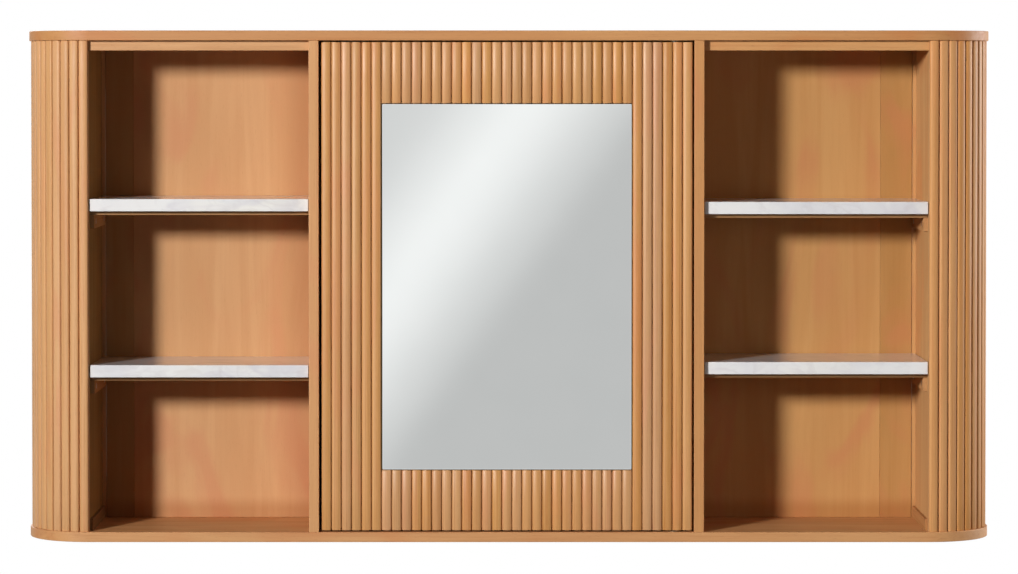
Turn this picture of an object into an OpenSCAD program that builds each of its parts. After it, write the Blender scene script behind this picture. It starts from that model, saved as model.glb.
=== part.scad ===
// Wall cabinet: a reeded door with a mirror between two open bays with marble shelves.
// Millimetres. X runs right, Y runs back to the wall, Z runs up.
// The origin is the middle of the footprint, on the underside of the bottom board.

/* [Case] */
// Depth from the wall to the front edge of the boards
case_d = 170; // [150:1:230]
// Height over the top and bottom boards
case_h = 641; // [560:1:800]
// Thickness of the top and bottom boards
board_t = 12.5; // [11:0.5:18]
// Thickness of the two dividers beside the door
divider_t = 12.5; // [11:0.5:18]
// Clear width of the left bay
left_bay_w = 276; // [220:1:340]
// Clear width of the right bay
right_bay_w = 282; // [220:1:340]
// Clear width of the opening for the door
door_opening_w = 470; // [390:1:600]

/* [Rounded ends] */
// Radius of the rounded front corners of the boards
end_r = 83; // [60:0.5:95]
// How far the boards reach past the crests of the reeds
board_overhang = 2; // [0.5:0.5:6]
// Thickness of the curved board behind the reeds
shell_t = 6; // [4:0.5:10]
// Thickness of the wall between the bay and the rounded end
bay_wall_t = 12; // [11:0.5:16]
// Depth of the post at the rear of the rounded end
rear_post_d = 20; // [12:1:30]

/* [Reeds] */
// Width that one reed aims at, before a whole number of them fills the space
reed_pitch = 12.5; // [10:0.1:15]
// Gap between one reed and the next
reed_gap = 0.3; // [0.1:0.1:1]
// Radius of the low crown of each reed
reed_crown_r = 13; // [9:0.5:40]
// Radius of the shoulders either side of that crown
reed_shoulder_r = 2.6; // [1:0.1:4]
// Number of reeds either side of the mirror
side_reeds = 6; // [3:1:9]

/* [Back] */
// Thickness of the back panels
back_t = 5; // [3:0.5:9]
// Thickness of the hanging rails behind the back panels
hanging_rail_t = 9; // [6:0.5:18]
// Height of the upper hanging rail
upper_rail_h = 60; // [40:1:90]
// Height of the lower hanging rail
lower_rail_h = 45; // [30:1:70]
// Width of the narrow back board at the left end that shows in the bay
left_back_stile_w = 41; // [25:1:70]
// Width of the narrow back board at the right end that shows in the bay
right_back_stile_w = 46; // [25:1:70]
// Width of the strip in the rear outer corner of each bay that shows beside those boards
corner_strip_w = 4.5; // [3:0.5:10]
// Joint between that strip and the narrow back board
corner_joint = 0.4; // [0.1:0.1:1]
// Radius of the four holes for the wall screws
wall_hole_r = 2.75; // [2:0.25:4]
// Distance between the wall screws from side to side
wall_hole_spacing = 360; // [250:5:380]

/* [Bay shelves] */
// Height of the top of the upper marble slab in the left bay
left_upper_z = 430; // [340:1:500]
// Height of the top of the lower marble slab in the left bay
left_lower_z = 221.5; // [120:0.5:280]
// Height of the top of the upper marble slab in the right bay
right_upper_z = 426.5; // [340:0.5:500]
// Height of the top of the lower marble slab in the right bay
right_lower_z = 225.5; // [120:0.5:280]
// Thickness of the marble slabs
marble_t = 15.5; // [10:0.5:22]
// Gap between a marble slab and whatever is beside and behind it
marble_clear = 0.9; // [0.3:0.1:2]
// How far the marble lies behind the front edge
front_setback = 8.5; // [3:0.5:20]
// Thickness of the wooden board under each slab
shelf_board_t = 5; // [3:0.5:9]
// How far that board lies behind the front of the marble
shelf_board_setback = 14; // [0:0.5:20]
// Width of the shelf cleats
cleat_w = 5; // [4.5:0.5:12]
// Height of the cleats on the end walls
cleat_h = 17; // [12:0.5:25]
// How far the cleats on the end walls lie behind the front of the marble
cleat_setback = 16.5; // [2:0.5:30]
// Height of the cleats on the dividers
divider_cleat_h = 9; // [9:0.5:20]
// How far the cleats on the dividers lie behind the front of the marble
divider_cleat_setback = 58; // [10:0.5:70]
// Width of the block along the foot of the end wall
foot_block_w = 3.5; // [3:0.5:12]
// Height of the block along the foot of the end wall
foot_block_h = 15; // [8:0.5:25]
// How far that block lies behind the front edge
foot_block_setback = 16; // [4:0.5:30]
// Height of the rail under the top board in each bay
top_rail_h = 12.5; // [6:0.5:20]
// How far that rail lies behind the front edge
top_rail_setback = 11; // [3:0.5:20]
// Thickness of that rail
top_rail_t = 9; // [5:0.5:18]

/* [Door] */
// Gap beside the free edge of the door
free_gap = 3; // [2:0.5:5]
// Gap beside the hinged edge of the door
hinge_gap = 2; // [1.5:0.1:4]
// Gap above the door
top_gap = 2; // [1.6:0.1:4]
// Gap below the door
bottom_gap = 2; // [1.6:0.1:4]
// Thickness of the board behind the reeds of the door
door_panel_t = 15; // [12:0.5:22]
// Length of the short reeds above the mirror
top_reed_l = 76.5; // [40:0.5:120]
// Length of the short reeds below the mirror
bottom_reed_l = 75.5; // [40:0.5:120]
// Thickness of the mirror glass
mirror_t = 4; // [3:0.5:5]
// Gap all round the mirror
mirror_gap = 1; // [0.5:0.1:3]
// Thickness of the mounting tape behind the mirror
tape_t = 1; // [0.5:0.1:1.5]
// Width of each strip of mounting tape
tape_w = 20; // [10:1:30]

/* [Pivot hinges] */
// How far the pivot lies behind the front face of the door's board
pivot_back = 5; // [4.5:0.1:6]
// Least gap between the divider and the reeds as the door swings
swing_clear = 0.5; // [0.3:0.1:0.9]
// Radius of the pivot pins
pin_r = 3; // [2:0.25:3.5]
// Radial running clearance of the pins in their bushes
pin_clear = 0.05; // [0.02:0.01:0.1]
// Length of pin set in the door
pin_embed = 12; // [8:1:20]
// Depth of the bushes in the boards
bush_depth = 6.5; // [5:0.5:8]
// Wall of the bushes
bush_wall = 2.5; // [1.5:0.25:4]
// Width of the bush flange beyond the bush
flange_w = 2; // [1:0.25:3]
// Thickness of the bush flange
flange_t = 0.8; // [0.5:0.1:1]
// Length of the plates let into the door's edges
plate_l = 42; // [36:1:60]
// Width of those plates
plate_w = 8.4; // [8:0.1:9]
// Thickness of those plates
plate_t = 1.5; // [1:0.1:2.5]

/* [Push latch] */
// Distance from the door's free edge to the middle of the latch
latch_inset = 38; // [30:1:80]
// Width of the latch housing
latch_w = 20; // [16:1:26]
// Height of the latch housing
latch_h = 16; // [15:0.5:22]
// Length of the latch housing
latch_l = 66; // [50:1:80]
// Distance from the top board down to the middle of the plunger
latch_drop = 8.5; // [8.5:0.1:10]
// Width of each ear of the latch housing
ear_w = 9; // [8:0.5:14]
// Thickness of the ears
ear_t = 2.5; // [2:0.25:4]
// Length of the ears
ear_l = 24; // [16:1:36]
// Radius of the plunger
plunger_r = 4; // [3.5:0.25:5]
// Length of the plunger
plunger_l = 34; // [24:1:40]
// Travel of the plunger when the door is pushed
plunger_travel = 3; // [2:0.5:5]
// Gap between the plunger and the strike plate
tip_gap = 0.3; // [0.2:0.1:1]
// Radius of the magnet in the plunger
magnet_r = 3; // [2:0.25:3.25]
// Length of the magnet
magnet_l = 4; // [2:0.5:8]
// Length of the closed spring behind the plunger
spring_l = 18; // [12:1:20]
// Length of the strike plate
strike_l = 32; // [26:1:44]
// Height of the strike plate
strike_h = 11; // [9:0.5:12]
// Thickness of the strike plate
strike_t = 1.2; // [0.8:0.1:2]

/* [Inner shelves] */
// Height of the top of the upper inner shelf
inner_upper_z = 436; // [340:1:500]
// Height of the top of the lower inner shelf
inner_lower_z = 232; // [120:1:280]
// Thickness of the inner shelves
inner_shelf_t = 12; // [9:0.5:18]
// Gap between the inner shelves and what is beside and behind them
inner_shelf_clear = 0.5; // [0.3:0.1:1.5]
// Gap between the inner shelves and the swing of the door
inner_shelf_front_clear = 4; // [2:0.5:10]
// Radius of the shelf pins
shelf_pin_r = 2.5; // [2:0.25:3]
// Length of shelf pin set in the divider
shelf_pin_in = 8; // [6:0.5:9]
// Length of shelf pin under the shelf
shelf_pin_out = 9; // [6:0.5:14]

/* [Fasteners] */
// Radius of the dowels between uprights and boards
dowel_r = 3; // [2:0.25:4]
// Depth of the dowels in the boards
dowel_in_board = 8; // [5:0.5:9]
// Depth of the dowels in the uprights
dowel_in_upright = 18; // [10:1:30]
// Distance of the dowels from the front and back of the uprights
dowel_inset = 38; // [30:1:50]
// Shank radius of the cleat screws
cleat_screw_r = 1.75; // [1.25:0.25:2.25]
// Length of the cleat screws
cleat_screw_l = 13; // [11:0.5:14]
// Distance of the cleat screws from the ends of the cleats
cleat_screw_inset = 20; // [10:1:30]
// Shank radius of the small screws in the plates and the latch
small_screw_r = 1.25; // [1:0.25:1.5]
// Length of the small screws
small_screw_l = 11; // [8:0.5:11.5]
// Radial gap around dowels, screws and bushes in their holes
hole_clear = 0.05; // [0.02:0.01:0.1]

/* [Hidden] */

$fn = 96;
// Overshoot of a cut past the face that it opens
eps = 1;

// Case, from left to right
case_w = 2 * end_r + left_bay_w + right_bay_w + 2 * divider_t + door_opening_w;
left_bay_x0 = end_r - case_w / 2;
left_bay_x1 = left_bay_x0 + left_bay_w;
opening_x0 = left_bay_x1 + divider_t;
opening_x1 = opening_x0 + door_opening_w;
right_bay_x0 = opening_x1 + divider_t;
right_bay_x1 = right_bay_x0 + right_bay_w;

// Case, from front to back
front_y = -case_d / 2;
wall_y = case_d / 2;
rail_face_y = wall_y - hanging_rail_t;
back_face_y = rail_face_y - back_t;
setback_y = front_y + front_setback;

// Case, from bottom to top
floor_z = board_t;
ceiling_z = case_h - board_t;
inner_h = ceiling_z - floor_z;

// Rounded ends: a reed is half as tall as it is wide, so its height follows its width
arc_y = front_y + end_r;
crest_r = end_r - board_overhang;
arc_reeds = round(crest_r * PI / 2 / reed_pitch);
arc_step = 90 / arc_reeds;
half_step_tan = tan(arc_step / 2);
shell_r = (crest_r + reed_gap / 2) / (1 + half_step_tan);
arc_reed_r = shell_r * half_step_tan - reed_gap / 2;
shell_inner_r = shell_r - shell_t;
side_l = wall_y - arc_y;
side_reed_count = round(side_l / (2 * arc_reed_r + reed_gap));
side_reed_pitch = side_l / side_reed_count;
side_reed_r = min(side_reed_pitch - reed_gap, 2 * arc_reed_r) / 2;

// Door
door_x0 = opening_x0 + free_gap;
door_x1 = opening_x1 - hinge_gap;
door_w = door_x1 - door_x0;
door_z0 = floor_z + bottom_gap;
door_z1 = ceiling_z - top_gap;
door_h = door_z1 - door_z0;
door_reeds = round(door_w / reed_pitch);
door_reed_pitch = door_w / door_reeds;
door_reed_r = (door_reed_pitch - reed_gap) / 2;
// How far in front of the board the middles of the reeds' shoulders lie
door_shoulder_h = shoulder_h(door_reed_r);
panel_y0 = front_y + board_overhang + door_reed_r;
panel_y1 = panel_y0 + door_panel_t;
mirror_x0 = door_x0 + side_reeds * door_reed_pitch;
mirror_x1 = door_x1 - side_reeds * door_reed_pitch;
mirror_z0 = door_z0 + bottom_reed_l;
mirror_z1 = door_z1 - top_reed_l;

// Pivot: far enough from the edge for the shoulder of the last reed to swing past the divider
swing_room = hinge_gap - swing_clear;
shoulder_back = pivot_back + door_shoulder_h;
pivot_inset = reed_shoulder_r + (shoulder_back * shoulder_back - swing_room * swing_room) / (2 * swing_room);
pivot_x = door_x1 - pivot_inset;
pivot_y = panel_y0 + pivot_back;
bush_r = pin_r + pin_clear + bush_wall;
bush_bore_r = pin_r + pin_clear;
pin_engage = bush_depth - 1;
plate_x0 = pivot_x + plate_w - plate_l;
plate_screw_x = [plate_x0 + plate_w / 2, plate_x0 + plate_l / 2];
// Slack under the door that its washer leaves
thrust_clear = 0.2;
heel_r = sqrt(pivot_inset * pivot_inset + pow(door_panel_t - pivot_back, 2));

// Push latch
latch_x = door_x0 + latch_inset;
latch_z = ceiling_z - latch_drop;
strike_y = panel_y1 + strike_t;
tip_y = strike_y + tip_gap;
// Length of plunger that stays outside the housing when it is pushed in
plunger_proud = 0.6;
latch_y0 = tip_y + plunger_travel + plunger_proud;
plunger_y1 = tip_y + plunger_l;
latch_bore_y1 = plunger_y1 + spring_l;
spring_wall = 0.8;

// Inner shelves
inner_shelf_y0 = pivot_y + heel_r + inner_shelf_front_clear;
// Distance of the shelf pins from the front and back of the inner shelves
shelf_pin_inset = 28;

// Countersunk heads: width over the shank and depth
head_spread = 1.9;
small_head_spread = 1.1;
small_head_h = 1;

wood = [0.78, 0.59, 0.41];
wood_dark = [0.68, 0.48, 0.32];
wood_pale = [0.86, 0.70, 0.52];
marble_white = [0.88, 0.87, 0.88];
steel = [0.72, 0.73, 0.75];
bronze = [0.46, 0.38, 0.30];
dark_steel = [0.33, 0.32, 0.30];
mirror_grey = [0.82, 0.84, 0.86];
plastic_grey = [0.60, 0.61, 0.62];

// Children placed at the front corner centre of the left (-1) or right (1) rounded end,
// with x pointing outwards
module at_end(side) {
    if (side > 0)
        translate([right_bay_x1, arc_y, 0]) children();
    else
        translate([left_bay_x0, arc_y, 0]) mirror([1, 0, 0]) children();
}

// Outline of the top and bottom boards
module board_plan() {
    translate([left_bay_x0, front_y]) square([right_bay_x1 - left_bay_x0, case_d]);
    for (side = [-1, 1]) at_end(side) end_plan(end_r);
}

// Quarter round with a straight tail, filled, in the frame of at_end
module end_plan(r) {
    intersection() {
        circle(r);
        translate([0, -r]) square([r, r]);
    }
    square([r, side_l]);
}

// Half the width of a reed's crown, up to the middles of its shoulders, for a reed of half width r
function crown_x(r) = r - reed_shoulder_r;
// Distance from the middle of the crown's circle forward to the middles of the shoulders
function crown_rise(r) = sqrt(pow(reed_crown_r - reed_shoulder_r, 2) - pow(crown_x(r), 2));
// Height of the middles of the shoulders over the reed's flat
function shoulder_h(r) = r - reed_crown_r + crown_rise(r);

// Reed of half width r and height r, standing on z = 0 with its flat on y = 0 and its crest
// towards -y. Its low crown runs smoothly into a rounder shoulder on either side.
module reed(r, l) {
    x = crown_x(r);
    rise = crown_rise(r);
    crown_y = reed_crown_r - r;
    reach = (reed_crown_r + eps) / rise;
    linear_extrude(l) difference() {
        union() {
            translate([-r, -shoulder_h(r)]) square([2 * r, shoulder_h(r)]);
            for (side = [-1, 1]) translate([side * x, -shoulder_h(r)]) circle(reed_shoulder_r);
            intersection() {
                translate([0, crown_y]) circle(reed_crown_r);
                polygon([
                    [-x, crown_y - rise], [x, crown_y - rise],
                    [reach * x, crown_y - reach * rise], [-reach * x, crown_y - reach * rise]
                ]);
            }
        }
        translate([-r - eps, 0]) square([2 * r + 2 * eps, r + eps]);
    }
}

// Cylinder along +x or -x from x = 0
module rod_x(r, l, dir) {
    rotate([0, 90 * dir, 0]) cylinder(h = l, r = r);
}

// Cylinder along +y from y = 0
module rod_y(r, l) {
    rotate([-90, 0, 0]) cylinder(h = l, r = r);
}

// Countersunk screw driven along +z, with its head's face on z = 0
module sunk_screw(r, l, spread, head_h, grow) {
    cylinder(h = head_h, r1 = r + spread + grow, r2 = r + grow);
    cylinder(h = l + grow, r = r + grow);
}

// Case

// Middle of each upright, where its dowels stand
function upright_x() = [
    left_bay_x0 - bay_wall_t / 2, left_bay_x1 + divider_t / 2,
    opening_x1 + divider_t / 2, right_bay_x1 + bay_wall_t / 2
];

function dowel_y() = [front_y + dowel_inset, back_face_y - dowel_inset];

// Every dowel, grown by a gap to cut its hole
module dowels(grow) {
    for (x = upright_x(), y = dowel_y()) {
        translate([x, y, floor_z - dowel_in_board - grow])
            cylinder(h = dowel_in_board + dowel_in_upright + 2 * grow, r = dowel_r + grow);
        translate([x, y, ceiling_z - dowel_in_upright - grow])
            cylinder(h = dowel_in_board + dowel_in_upright + 2 * grow, r = dowel_r + grow);
    }
}

module case_dowels() {
    color(wood_pale) dowels(0);
}

module bottom_board() {
    color(wood) difference() {
        linear_extrude(board_t) board_plan();
        dowels(hole_clear);
        translate([pivot_x, pivot_y, floor_z - bush_depth])
            cylinder(h = bush_depth + eps, r = bush_r + hole_clear);
    }
}

module top_board() {
    color(wood) difference() {
        translate([0, 0, ceiling_z]) linear_extrude(board_t) board_plan();
        dowels(hole_clear);
        translate([pivot_x, pivot_y, ceiling_z - eps])
            cylinder(h = bush_depth + eps, r = bush_r + hole_clear);
        latch_screw_set(hole_clear);
    }
}

// Upright board between the bottom and top boards
module upright(x, w) {
    translate([x, front_y, floor_z]) cube([w, back_face_y - front_y, inner_h]);
}

module left_divider() {
    color(wood) difference() {
        upright(left_bay_x1, divider_t);
        dowels(hole_clear);
        cleat_screw_set(hole_clear);
        shelf_pin_set(hole_clear);
    }
}

module right_divider() {
    color(wood) difference() {
        upright(opening_x1, divider_t);
        dowels(hole_clear);
        cleat_screw_set(hole_clear);
        shelf_pin_set(hole_clear);
    }
}

// Wall between a bay and its rounded end, scribed to the curved board in front of it
module bay_wall(side) {
    color(wood) difference() {
        at_end(side) translate([0, 0, floor_z]) linear_extrude(inner_h) intersection() {
            translate([0, -shell_r]) square([bay_wall_t, back_face_y - arc_y + shell_r]);
            union() {
                circle(shell_inner_r);
                translate([-eps, 0]) square([bay_wall_t + 2 * eps, back_face_y - arc_y]);
            }
        }
        dowels(hole_clear);
        cleat_screw_set(hole_clear);
    }
}

module left_bay_wall() {
    bay_wall(-1);
}

module right_bay_wall() {
    bay_wall(1);
}

// Curved board that carries the reeds of a rounded end
module end_shell(side) {
    color(wood_dark) at_end(side) translate([0, 0, floor_z]) linear_extrude(inner_h) difference() {
        end_plan(shell_r);
        intersection() {
            circle(shell_inner_r);
            translate([-eps, -shell_r]) square([shell_r, shell_r]);
        }
        translate([-eps, -eps]) square([shell_inner_r + eps, side_l + 2 * eps]);
    }
}

module left_end_shell() {
    end_shell(-1);
}

module right_end_shell() {
    end_shell(1);
}

// Reeds round the quarter circle and along the straight side
module end_reeds(side) {
    color(wood) at_end(side) translate([0, 0, floor_z]) {
        for (i = [0 : arc_reeds - 1])
            rotate((i + 0.5) * arc_step) translate([0, -shell_r, 0]) reed(arc_reed_r, inner_h);
        for (i = [0 : side_reed_count - 1])
            translate([shell_r, (i + 0.5) * side_reed_pitch, 0]) rotate(90) reed(side_reed_r, inner_h);
    }
}

module left_end_reeds() {
    end_reeds(-1);
}

module right_end_reeds() {
    end_reeds(1);
}

// Post at the rear of a rounded end, between the back boards and the curved board
module rear_post(side) {
    color(wood_dark) at_end(side) translate([bay_wall_t, side_l - rear_post_d, floor_z])
        cube([shell_inner_r - bay_wall_t, rear_post_d, inner_h]);
}

module left_rear_post() {
    rear_post(-1);
}

module right_rear_post() {
    rear_post(1);
}

// Rail under the top board at the front of a bay
module top_rail(x, w) {
    color(wood) translate([x, front_y + top_rail_setback, ceiling_z - top_rail_h])
        cube([w, top_rail_t, top_rail_h]);
}

module left_top_rail() {
    top_rail(left_bay_x0, left_bay_w);
}

module right_top_rail() {
    top_rail(right_bay_x0, right_bay_w);
}

// Block along the foot of the end wall of a bay
module foot_block(x) {
    y0 = front_y + foot_block_setback;
    color(wood) translate([x, y0, floor_z]) cube([foot_block_w, back_face_y - y0, foot_block_h]);
}

module left_foot_block() {
    foot_block(left_bay_x0);
}

module right_foot_block() {
    foot_block(right_bay_x1 - foot_block_w);
}

// Back

// Four holes through the back panel and the hanging rails
module wall_holes() {
    mid_x = (opening_x0 + opening_x1) / 2;
    for (side = [-1, 1], z = [floor_z + lower_rail_h / 2, ceiling_z - upper_rail_h / 2])
        translate([mid_x + side * wall_hole_spacing / 2, back_face_y - eps, z])
            rod_y(wall_hole_r, back_t + hanging_rail_t + 2 * eps);
}

module back_board(x0, x1) {
    translate([x0, back_face_y, floor_z]) cube([x1 - x0, back_t, inner_h]);
}

module left_corner_strip() {
    color(wood) back_board(left_bay_x0 - bay_wall_t, left_bay_x0 + corner_strip_w);
}

module left_back_stile() {
    color(wood) back_board(left_bay_x0 + corner_strip_w + corner_joint, left_bay_x0 + left_back_stile_w);
}

module left_back_panel() {
    color(wood) back_board(left_bay_x0 + left_back_stile_w, left_bay_x1 + divider_t / 2);
}

module centre_back_panel() {
    color(wood) difference() {
        back_board(left_bay_x1 + divider_t / 2, opening_x1 + divider_t / 2);
        wall_holes();
    }
}

module right_back_panel() {
    color(wood) back_board(opening_x1 + divider_t / 2, right_bay_x1 - right_back_stile_w);
}

module right_back_stile() {
    color(wood) back_board(right_bay_x1 - right_back_stile_w, right_bay_x1 - corner_strip_w - corner_joint);
}

module right_corner_strip() {
    color(wood) back_board(right_bay_x1 - corner_strip_w, right_bay_x1 + bay_wall_t);
}

module hanging_rail(z, h) {
    x0 = left_bay_x0 - bay_wall_t;
    color(wood_pale) difference() {
        translate([x0, rail_face_y, z]) cube([right_bay_x1 + bay_wall_t - x0, hanging_rail_t, h]);
        wall_holes();
    }
}

module upper_hanging_rail() {
    hanging_rail(ceiling_z - upper_rail_h, upper_rail_h);
}

module lower_hanging_rail() {
    hanging_rail(floor_z, lower_rail_h);
}

// Bay shelves

module marble(x, w, z) {
    l = back_face_y - marble_clear - setback_y;
    color(marble_white) translate([x + marble_clear, setback_y, z - marble_t])
        cube([w - 2 * marble_clear, l, marble_t]);
}

module left_upper_marble() {
    marble(left_bay_x0, left_bay_w, left_upper_z);
}

module left_lower_marble() {
    marble(left_bay_x0, left_bay_w, left_lower_z);
}

module right_upper_marble() {
    marble(right_bay_x0, right_bay_w, right_upper_z);
}

module right_lower_marble() {
    marble(right_bay_x0, right_bay_w, right_lower_z);
}

// Thin boards that lie on the cleats and carry the marble
module shelf_boards(x, w, slab_tops) {
    y0 = setback_y + shelf_board_setback;
    for (z = slab_tops)
        color(wood) translate([x, y0, z - marble_t - shelf_board_t])
            cube([w, back_face_y - y0, shelf_board_t]);
}

module left_shelf_boards() {
    shelf_boards(left_bay_x0, left_bay_w, [left_upper_z, left_lower_z]);
}

module right_shelf_boards() {
    shelf_boards(right_bay_x0, right_bay_w, [right_upper_z, right_lower_z]);
}

// Distance from the top of the marble down to the top of the cleats
cleat_drop = marble_t + shelf_board_t;

// Cleats of a bay, each as the upright's face, the way into the bay, its front and its height
function bay_cleats(wall_x, divider_x, dir) = [
    [wall_x, dir, setback_y + cleat_setback, cleat_h],
    [divider_x, -dir, setback_y + divider_cleat_setback, divider_cleat_h]
];

function left_bay_cleats() = bay_cleats(left_bay_x0, left_bay_x1, 1);

function right_bay_cleats() = bay_cleats(right_bay_x1, right_bay_x0, -1);

// Cleats under the shelf boards, those on the divider low and short
module cleats(rows, slab_tops) {
    color(wood) difference() {
        for (c = rows, z = slab_tops)
            translate([min(c[0], c[0] + c[1] * cleat_w), c[2], z - cleat_drop - c[3]])
                cube([cleat_w, back_face_y - c[2], c[3]]);
        cleat_screw_set(hole_clear);
    }
}

module left_cleats() {
    cleats(left_bay_cleats(), [left_upper_z, left_lower_z]);
}

module right_cleats() {
    cleats(right_bay_cleats(), [right_upper_z, right_lower_z]);
}

// Screws of the cleats of one bay, driven from the bay into its two uprights
module bay_screws(rows, slab_tops, grow) {
    for (c = rows, z = slab_tops, y = [c[2] + cleat_screw_inset, back_face_y - cleat_screw_inset])
        translate([c[0] + c[1] * cleat_w, y, z - cleat_drop - c[3] / 2]) rotate([0, -90 * c[1], 0])
            sunk_screw(cleat_screw_r, cleat_screw_l, head_spread, head_spread, grow);
}

module cleat_screw_set(grow) {
    bay_screws(left_bay_cleats(), [left_upper_z, left_lower_z], grow);
    bay_screws(right_bay_cleats(), [right_upper_z, right_lower_z], grow);
}

module cleat_screws() {
    color(steel) cleat_screw_set(0);
}

// Inner shelves behind the door

module inner_shelf(z) {
    color(wood) translate([opening_x0 + inner_shelf_clear, inner_shelf_y0, z - inner_shelf_t])
        cube([
            door_opening_w - 2 * inner_shelf_clear,
            back_face_y - inner_shelf_clear - inner_shelf_y0,
            inner_shelf_t
        ]);
}

module inner_upper_shelf() {
    inner_shelf(inner_upper_z);
}

module inner_lower_shelf() {
    inner_shelf(inner_lower_z);
}

// Pins in the dividers under both inner shelves
module shelf_pin_set(grow) {
    pin_l = shelf_pin_in + shelf_pin_out;
    pin_y = [inner_shelf_y0 + shelf_pin_inset, back_face_y - shelf_pin_inset];
    for (top = [inner_upper_z, inner_lower_z], y = pin_y) {
        z = top - inner_shelf_t - shelf_pin_r;
        translate([opening_x0 - shelf_pin_in - grow, y, z]) rod_x(shelf_pin_r + grow, pin_l + grow, 1);
        translate([opening_x1 + shelf_pin_in + grow, y, z]) rod_x(shelf_pin_r + grow, pin_l + grow, -1);
    }
}

module shelf_pins() {
    color(steel) shelf_pin_set(0);
}

// Door

module door_panel() {
    color(wood_dark) difference() {
        translate([door_x0, panel_y0, door_z0]) cube([door_w, door_panel_t, door_h]);
        at_door_edges() {
            translate([plate_x0 - hole_clear, pivot_y - plate_w / 2 - hole_clear, -plate_t])
                cube([plate_l + 2 * hole_clear, plate_w + 2 * hole_clear, plate_t + eps]);
            translate([pivot_x, pivot_y, -pin_embed]) cylinder(h = pin_embed + eps, r = pin_r + hole_clear);
            plate_screw_pair(hole_clear);
        }
        strike_screw_pair(hole_clear);
    }
}

// Reeds numbered first to last from the free edge, from height z0 to z1
module door_reed_row(first, last, z0, z1) {
    color(wood) for (i = [first : last])
        translate([door_x0 + (i + 0.5) * door_reed_pitch, panel_y0, z0]) reed(door_reed_r, z1 - z0);
}

module door_left_reeds() {
    door_reed_row(0, side_reeds - 1, door_z0, door_z1);
}

module door_right_reeds() {
    door_reed_row(door_reeds - side_reeds, door_reeds - 1, door_z0, door_z1);
}

module door_top_reeds() {
    door_reed_row(side_reeds, door_reeds - side_reeds - 1, mirror_z1, door_z1);
}

module door_bottom_reeds() {
    door_reed_row(side_reeds, door_reeds - side_reeds - 1, door_z0, mirror_z0);
}

mirror_w = mirror_x1 - mirror_x0 - 2 * mirror_gap;
mirror_h = mirror_z1 - mirror_z0 - 2 * mirror_gap;

module mirror_glass() {
    color(mirror_grey) translate([mirror_x0 + mirror_gap, panel_y0 - tape_t - mirror_t, mirror_z0 + mirror_gap])
        cube([mirror_w, mirror_t, mirror_h]);
}

// Four upright strips of mounting tape
module mirror_tape() {
    strips = 4;
    // Distance of the tape from the edges of the glass
    inset = 20;
    step = (mirror_w - 2 * inset - tape_w) / (strips - 1);
    color([0.9, 0.9, 0.9]) for (i = [0 : strips - 1])
        translate([mirror_x0 + mirror_gap + inset + i * step, panel_y0 - tape_t, mirror_z0 + mirror_gap + inset])
            cube([tape_w, tape_t, mirror_h - 2 * inset]);
}

// Pivot hinges: children are drawn for the top edge of the door and mirrored for the bottom edge
module at_door_edges() {
    translate([0, 0, door_z1]) children();
    translate([0, 0, door_z0]) mirror([0, 0, 1]) children();
}

// Two screws of a pivot plate, heads flush with the door's edge
module plate_screw_pair(grow) {
    for (x = plate_screw_x)
        translate([x, pivot_y, 0]) mirror([0, 0, 1])
            sunk_screw(small_screw_r, small_screw_l, small_head_spread, small_head_h, grow);
}

module pivot_plates() {
    color(dark_steel) at_door_edges() difference() {
        translate([plate_x0, pivot_y - plate_w / 2, -plate_t]) cube([plate_l, plate_w, plate_t]);
        translate([pivot_x, pivot_y, -plate_t - eps]) cylinder(h = plate_t + 2 * eps, r = pin_r + hole_clear);
        plate_screw_pair(hole_clear);
    }
}

module pivot_plate_screws() {
    color(dark_steel) at_door_edges() plate_screw_pair(0);
}

module pivot_pins() {
    color(dark_steel) {
        translate([pivot_x, pivot_y, door_z1 - pin_embed])
            cylinder(h = pin_embed + top_gap + pin_engage, r = pin_r);
        translate([pivot_x, pivot_y, floor_z - pin_engage])
            cylinder(h = pin_embed + bottom_gap + pin_engage, r = pin_r);
    }
}

// Flanged bush hanging in the underside of the top board, its flange below z = 0
module bush() {
    difference() {
        union() {
            cylinder(h = bush_depth, r = bush_r);
            translate([0, 0, -flange_t]) cylinder(h = flange_t, r = bush_r + flange_w);
        }
        translate([0, 0, -flange_t - eps]) cylinder(h = bush_depth + flange_t + 2 * eps, r = bush_bore_r);
    }
}

module pivot_bushes() {
    color(bronze) {
        translate([pivot_x, pivot_y, ceiling_z]) bush();
        translate([pivot_x, pivot_y, floor_z]) mirror([0, 0, 1]) bush();
    }
}

// Washer on the lower bush that the door turns on
module pivot_washer() {
    h = bottom_gap - flange_t - thrust_clear;
    color([0.18, 0.18, 0.18]) translate([pivot_x, pivot_y, floor_z + flange_t]) difference() {
        cylinder(h = h, r = bush_r);
        translate([0, 0, -eps]) cylinder(h = h + 2 * eps, r = bush_bore_r);
    }
}

// Push latch

// Two screws of the strike plate, heads flush with its rear face
module strike_screw_pair(grow) {
    for (side = [-1, 1])
        translate([latch_x + side * (strike_l / 2 - strike_h / 2), strike_y, latch_z]) rotate([90, 0, 0])
            sunk_screw(small_screw_r, small_screw_l, small_head_spread, small_head_h, grow);
}

module strike_plate() {
    color(steel) difference() {
        translate([latch_x - strike_l / 2, panel_y1, latch_z - strike_h / 2])
            cube([strike_l, strike_t, strike_h]);
        strike_screw_pair(hole_clear);
    }
}

module strike_screws() {
    color(steel) strike_screw_pair(0);
}

// Two screws of the latch housing, driven up through its ears
module latch_screw_set(grow) {
    for (side = [-1, 1])
        translate([latch_x + side * (latch_w + ear_w) / 2, latch_y0 + latch_l / 2, ceiling_z - ear_t])
            sunk_screw(small_screw_r, small_screw_l, small_head_spread, small_head_h, grow);
}

module latch_screws() {
    color(steel) latch_screw_set(0);
}

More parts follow.
